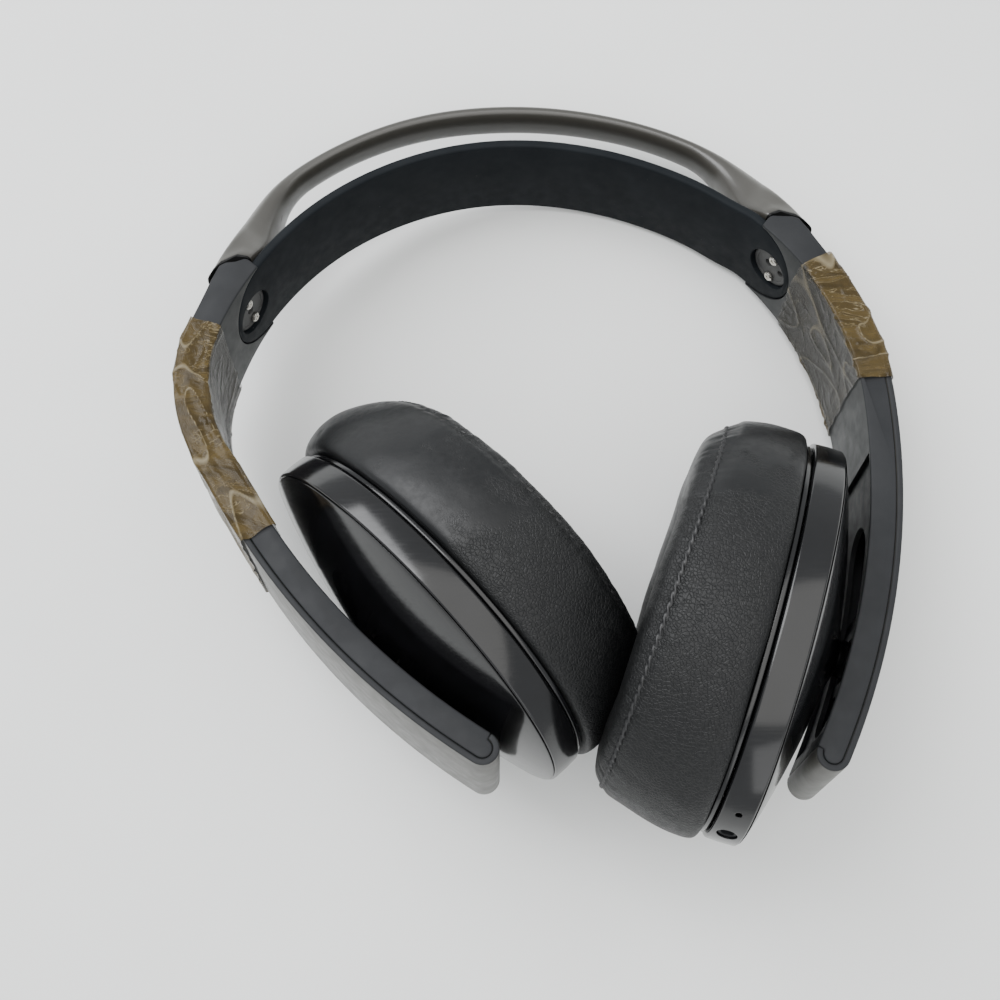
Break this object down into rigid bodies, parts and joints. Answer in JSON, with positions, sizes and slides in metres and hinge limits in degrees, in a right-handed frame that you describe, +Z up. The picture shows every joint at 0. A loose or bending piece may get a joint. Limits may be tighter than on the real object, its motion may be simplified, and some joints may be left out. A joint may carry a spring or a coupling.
{
  "type": "over-ear gaming headset",
  "caption": "Wireless over-ear headset on its side: padded oval cups on gimbals that slide in wide curved arms, inner strap under a slim outer band, arms wrapped in tape.",
  "frame": {"origin": "centre of the bounding box on the surface it lies on", "axes": "+Y towards the crown, +X across the head to the cup with the controls, +Z up from the surface, towards the wearer's front"},
  "size_m": [0.2024, 0.225, 0.0918],
  "materials": {
    "sand": "matte",
    "cover": "satin",
    "band": "satin",
    "strap": "matte",
    "gloss": "gloss",
    "pad": "satin",
    "cloth": "matte",
    "tape": "gloss",
    "foil": "satin",
    "board": "satin",
    "lens": "satin",
    "steel": "satin",
    "spring": "satin",
    "dark": "satin"
  },
  "bodies": {
    "frame": {"arm_cover_left": "cover", "arm_cover_right": "cover", "arm_shell_left": "sand", "arm_shell_right": "sand", "band_spring": "spring", "inner_strap": "strap", "link_cable": "dark", "outer_band": "band", "repair_tape_left": "tape", "repair_tape_right": "tape", "strap_anchor_left": "dark", "strap_anchor_right": "dark", "strap_screw_left_1": "steel", "strap_screw_left_2": "steel", "strap_screw_right_1": "steel", "strap_screw_right_2": "steel"},
    "slider_left": {"slide_bracket_left": "dark", "swivel_pin_left_front": "steel", "swivel_pin_left_rear": "steel"},
    "gimbal_left": {"gimbal_left": "dark", "tilt_pin_left": "steel"},
    "cup_left": {"cup_back_left": "gloss", "cup_rim_left": "gloss", "baffle_left": "dark", "driver_left": "dark", "cushion_ring_left": "gloss", "speaker_cloth_left": "cloth", "cushion_left": "pad", "battery": "foil"},
    "slider_right": {"slide_bracket_right": "dark", "swivel_pin_right_front": "steel", "swivel_pin_right_rear": "steel"},
    "gimbal_right": {"gimbal_right": "dark", "tilt_pin_right": "steel"},
    "cup_right": {"cup_back_right": "gloss", "cup_rim_right": "gloss", "baffle_right": "dark", "driver_right": "dark", "cushion_ring_right": "gloss", "speaker_cloth_right": "cloth", "cushion_right": "pad", "main_board": "board", "audio_jack": "dark", "usb_socket": "steel", "mic_upper": "dark", "mic_lower": "dark", "status_light": "lens"},
    "power_switch": {"power_slider": "dark"},
    "surround_button_cap": {"surround_button": "dark"},
    "mute_button_cap": {"mute_button": "dark"},
    "volume_rocker_cap": {"volume_rocker": "dark"},
    "chat_rocker_cap": {"chat_rocker": "dark"}
  },
  "joints": [
    {"name": "left_size_adjust", "type": "hinge", "parent": "frame", "child": "slider_left", "pos_m": [0.09349, 0.07585, 0.01255], "axis": [-0.0834, -0.2141, -0.9732], "range_deg": [0, 3.2]},
    {"name": "left_cup_swivel", "type": "hinge", "parent": "slider_left", "child": "gimbal_left", "pos_m": [-0.04497, -0.06526, 0.05545], "axis": [-0.0834, -0.2141, -0.9732], "range_deg": [-5, 0]},
    {"name": "left_cup_tilt", "type": "hinge", "parent": "gimbal_left", "child": "cup_left", "pos_m": [-0.04497, -0.06526, 0.05545], "axis": [-0.6925, 0.7147, -0.0979], "range_deg": [-5, 2]},
    {"name": "right_size_adjust", "type": "hinge", "parent": "frame", "child": "slider_right", "pos_m": [-0.10668, -0.00204, 0.04683], "axis": [0.0834, 0.2141, 0.9732], "range_deg": [-1.8, 5]},
    {"name": "right_cup_swivel", "type": "hinge", "parent": "slider_right", "child": "gimbal_right", "pos_m": [0.0856, -0.06484, 0.04418], "axis": [0.0834, 0.2141, 0.9732], "range_deg": [0, 4.5]},
    {"name": "right_cup_tilt", "type": "hinge", "parent": "gimbal_right", "child": "cup_right", "pos_m": [0.0856, -0.06484, 0.04418], "axis": [0.2894, 0.9294, -0.2293], "range_deg": [-5, 0.5]},
    {"name": "power_switch_slide", "type": "slide", "parent": "cup_right", "child": "power_switch", "axis": [-0.284, -0.8141, -0.5066], "range_m": [0, 0.0024]},
    {"name": "surround_button_press", "type": "slide", "parent": "cup_right", "child": "surround_button_cap", "axis": [-0.0152, -0.1789, 0.9838], "range_m": [0, 0.0008], "stiffness_N_per_m": 400},
    {"name": "mute_button_press", "type": "slide", "parent": "cup_right", "child": "mute_button_cap", "axis": [0.2514, 0.6899, 0.6789], "range_m": [0, 0.0008], "stiffness_N_per_m": 400},
    {"name": "volume_rocker_rock", "type": "hinge", "parent": "cup_right", "child": "volume_rocker_cap", "pos_m": [0.06214, -0.06135, 0.0031], "axis": [-0.9511, 0.3062, 0.041], "range_deg": [-5, 5], "stiffness_Nm_per_rad": 0.05},
    {"name": "chat_rocker_rock", "type": "hinge", "parent": "cup_right", "child": "chat_rocker_cap", "pos_m": [0.05513, -0.0842, 0.01109], "axis": [-0.9511, 0.3062, 0.041], "range_deg": [-5, 5], "stiffness_Nm_per_rad": 0.05}
  ]
}
